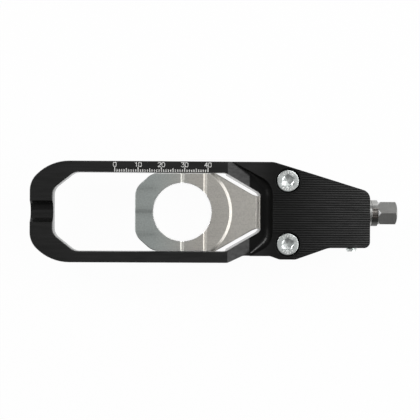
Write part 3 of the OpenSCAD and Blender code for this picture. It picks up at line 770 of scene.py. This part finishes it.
class ClampScrewsOperator(bpy.types.Operator):
    """Build the two clamp screws with sockets, threads and plain marks on their heads."""

    bl_idname = "adjuster.clamp_screws"
    bl_label = "Clamp screws"

    def execute(self, context):
        sizes = context.scene.adjuster_sizes
        lead_r = sizes.socket_flats / math.sqrt(3) + 0.25 * MM
        for node in ("upper_clamp_screw", "lower_clamp_screw"):
            low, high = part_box(node)
            centre = (low + high) / 2
            head_r = (high.x - low.x) / 2
            rings = self.shank(sizes, low.z, high.z - sizes.head_high)
            rings += self.head(sizes, high.z, head_r, lead_r)
            mesh = revolved(node + "_threaded", rings, (centre.x, centre.y, 0), (0, 0, 1), 72)
            piece(node + "_threaded", mesh, "plated_steel", node)
            self.marks(sizes, node, Vector((centre.x, centre.y, high.z)), head_r, lead_r)
        return {"FINISHED"}

    def shank(self, sizes, end, under_head):
        """Rings of the threaded shank, from its end up to the head's underside."""
        fillet = 0.2 * MM
        run_out = 0.4 * MM
        thread_end = under_head - 2 * MM
        rings = thread(end, thread_end, sizes.shank_r, sizes.screw_pitch, 0.6 * MM)
        return rings + [
            (thread_end + run_out, circle(sizes.shank_r)),
            (under_head - fillet, circle(sizes.shank_r)),
            (under_head, circle(sizes.shank_r + fillet)),
        ]

    def head(self, sizes, top, head_r, lead_r):
        """Rings of the head and its socket, from the head's underside inward."""
        foot = 0.15 * MM
        lead_deep = 0.3 * MM
        drill_cone = 0.4 * MM
        drill_tip = 0.2 * MM
        under_head = top - sizes.head_high
        socket_floor = top - sizes.socket_deep
        socket = hexagon(sizes.socket_flats)
        return [
            (under_head, circle(head_r - foot)),
            (under_head + foot, circle(head_r)),
            *rounded_edge(top, head_r, sizes.head_edge),
            (top, circle(lead_r)),
            (top - lead_deep, socket),
            (socket_floor, socket),
            (socket_floor - drill_cone, circle(drill_tip)),
        ]

    def marks(self, sizes, node, top, head_r, lead_r):
        """Raised plain strokes in two groups round the socket."""
        inner = lead_r + 0.35 * MM
        outer = head_r - sizes.head_edge - 0.25 * MM
        half = sizes.mark_wide / 2
        sunk = 0.05 * MM
        taper = 0.05 * MM
        levels = ((-sunk, 0), (0.7 * sizes.mark_high, 0), (sizes.mark_high, taper))
        points = []
        faces = []
        for middle in (math.pi / 2, 3 * math.pi / 2):
            for i in range(sizes.mark_count):
                angle = middle + sizes.mark_apart * (i - (sizes.mark_count - 1) / 2)
                near = inner if i % 2 == 0 else (inner + outer) / 2
                turn = Matrix.Rotation(angle, 3, "Z")
                base = len(points)
                for height, shrink in levels:
                    for u, v in ((near, -half), (outer, -half), (outer, half), (near, half)):
                        along = u + (shrink if u == near else -shrink)
                        across = v + (shrink if v < 0 else -shrink)
                        points.append(top + turn @ Vector((along, across, height)))
                for level in (0, 4):
                    for k in range(4):
                        a = base + level + k
                        b = base + level + (k + 1) % 4
                        faces.append((a, b, b + 4, a + 4))
                faces.append(tuple(base + 8 + k for k in range(4)))
                faces.append(tuple(base + 3 - k for k in range(4)))
        mesh = bpy.data.meshes.new(node + "_marks")
        mesh.from_pydata(points, [], faces)
        mesh.update()
        piece(node + "_marks", mesh, "plated_steel", node, replaced=False)


class LockScrewOperator(bpy.types.Operator):
    """Build the lock screw with its thread and socket, and finish its pad."""

    bl_idname = "adjuster.lock_screw"
    bl_label = "Lock screw"

    def execute(self, context):
        sizes = context.scene.adjuster_sizes
        low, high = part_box("lock_screw")
        centre = (low + high) / 2
        radius = (high.x - low.x) / 2
        reach = high.y - low.y
        flats = radius
        lead_wide = 0.15 * MM
        lead_deep = 0.2 * MM
        drill_cone = 0.2 * MM
        drill_tip = 0.15 * MM
        socket = hexagon(flats)
        socket_floor = reach - radius
        rings = thread(0, reach, radius, sizes.lock_pitch, 0.8 * MM)
        rings += [
            (reach, circle(flats / math.sqrt(3) + lead_wide)),
            (reach - lead_deep, socket),
            (socket_floor, socket),
            (socket_floor - drill_cone, circle(drill_tip)),
        ]
        origin = (centre.x, high.y, centre.z)
        mesh = revolved("lock_screw_threaded", rings, origin, (0, -1, 0))
        piece("lock_screw_threaded", mesh, "plated_steel", "lock_screw")
        dress("lock_pad")
        return {"FINISHED"}


class StageOperator(bpy.types.Operator):
    """Build the floor, the surroundings, the lamps and the camera."""

    bl_idname = "adjuster.stage"
    bl_label = "Stage"

    def execute(self, context):
        stage = context.scene.adjuster_stage
        self.floor(context, stage)
        self.surroundings(context, stage)
        self.lamps(context)
        self.camera(context, stage)
        context.scene.view_settings.view_transform = "Standard"
        return {"FINISHED"}

    def floor(self, context, stage):
        """A pale floor that keeps the part's shadow."""
        half = stage.floor_half
        level = solid_box[0].z - stage.floor_gap
        square = ((-half, -half), (half, -half), (half, half), (-half, half))
        mesh = bpy.data.meshes.new("floor")
        mesh.from_pydata([(x, y, level) for x, y in square], [], [(0, 1, 2, 3)])
        floor = bpy.data.objects.new("floor", mesh)
        context.scene.collection.objects.link(floor)
        shader = Shader("floor_paint")
        seen = stage.floor_glow * shader.largest(*shader.ray_kinds())
        lit = shader.node("ShaderNodeBsdfDiffuse", values={"Color": tone(stage.floor_tone)})
        white = shader.node("ShaderNodeEmission", values={"Color": WHITE, "Strength": 1.0})
        both = shader.node("ShaderNodeMixShader", values={0: seen, 1: lit, 2: white})
        shader.node("ShaderNodeOutputMaterial", values={"Surface": both})
        mesh.materials.append(shader.owner)

    def surroundings(self, context, stage):
        """Dim light from all round, seen as white behind the floor."""
        shader = Shader("studio", bpy.data.worlds)
        context.scene.world = shader.owner
        direction = shader.node("ShaderNodeTexCoord", output="Generated")
        near_floor = 1 - shader.rise(shader.split(direction)[2], 0.02, 0.05)
        camera_ray, mirror_ray, through_ray = shader.ray_kinds()
        seen = shader.largest(camera_ray, through_ray, mirror_ray * near_floor)
        strength = stage.world_light + (1 - stage.world_light) * seen
        light = shader.node("ShaderNodeBackground", values={"Color": WHITE, "Strength": strength})
        shader.node("ShaderNodeOutputWorld", values={"Surface": light})

    def lamps(self, context):
        """Soft boxes round the part, each where a face of the part mirrors it."""
        for name, around, above, away, width, height, radiance in LAMPS:
            lamp = bpy.data.lights.new(name, "AREA")
            lamp.shape = "RECTANGLE"
            lamp.size = width
            lamp.size_y = height
            lamp.energy = radiance * math.pi * width * height
            lift = math.radians(above)
            turn = math.radians(around)
            level = math.cos(lift)
            toward = Vector((level * math.cos(turn), level * math.sin(turn), math.sin(lift)))
            holder = bpy.data.objects.new(name, lamp)
            holder.location = Vector(LAMP_AIM) + away * toward
            holder.rotation_mode = "QUATERNION"
            holder.rotation_quaternion = (-toward).to_track_quat("-Z", "Y")
            context.scene.collection.objects.link(holder)

    def camera(self, context, stage):
        """A camera above the axle bore, turned to look at the middle of the part."""
        lens = bpy.data.cameras.new("photo_camera")
        lens.lens = stage.lens_mm
        lens.sensor_width = stage.sensor_mm
        eye = Vector((0, 0, stage.camera_high))
        forward = (Vector((stage.aim_x, stage.aim_y, solid_box[1].z)) - eye).normalized()
        right = (Vector((1, 0, 0)) - forward.x * forward).normalized()
        up = right.cross(forward)
        turn = Matrix((right, up, -forward)).transposed() @ Matrix.Rotation(stage.roll, 3, "Z")
        holder = bpy.data.objects.new("photo_camera", lens)
        holder.matrix_world = Matrix.Translation(eye) @ turn.to_4x4()
        context.scene.collection.objects.link(holder)
        context.scene.camera = holder


STEPS = (
    SidePlateOperator,
    AxleBlockOperator,
    PullStudOperator,
    AdjusterNutOperator,
    ClampScrewsOperator,
    LockScrewOperator,
    StageOperator,
)

GROUPS = {
    "adjuster_sizes": AdjusterSizes,
    "adjuster_places": AdjusterPlaces,
    "adjuster_finish": AdjusterFinish,
    "adjuster_stage": AdjusterStage,
}


class AdjusterPanel(bpy.types.Panel):
    """Lists the steps and the settings."""

    bl_idname = "VIEW3D_PT_chain_adjuster"
    bl_label = "Chain Adjuster"
    bl_space_type = "VIEW_3D"
    bl_region_type = "UI"
    bl_category = "Chain Adjuster"

    def draw(self, context):
        for step in STEPS:
            self.layout.operator(step.bl_idname)
        for name in GROUPS:
            group = getattr(context.scene, name)
            box = self.layout.box()
            for setting in group.bl_rna.properties.keys():
                if setting not in ("rna_type", "name"):
                    box.prop(group, setting)


def register():
    for group in GROUPS.values():
        bpy.utils.register_class(group)
    for name, group in GROUPS.items():
        setattr(bpy.types.Scene, name, PointerProperty(type=group))
    for step in (*STEPS, AdjusterPanel):
        bpy.utils.register_class(step)


def unregister():
    for step in (AdjusterPanel, *reversed(STEPS)):
        bpy.utils.unregister_class(step)
    for name, group in GROUPS.items():
        delattr(bpy.types.Scene, name)
        bpy.utils.unregister_class(group)


def main():
    """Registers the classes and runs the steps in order."""
    register()
    bpy.ops.adjuster.side_plate()
    bpy.ops.adjuster.axle_block()
    bpy.ops.adjuster.pull_stud()
    bpy.ops.adjuster.nut()
    bpy.ops.adjuster.clamp_screws()
    bpy.ops.adjuster.lock_screw()
    bpy.ops.adjuster.stage()


if __name__ == "__main__":
    main()
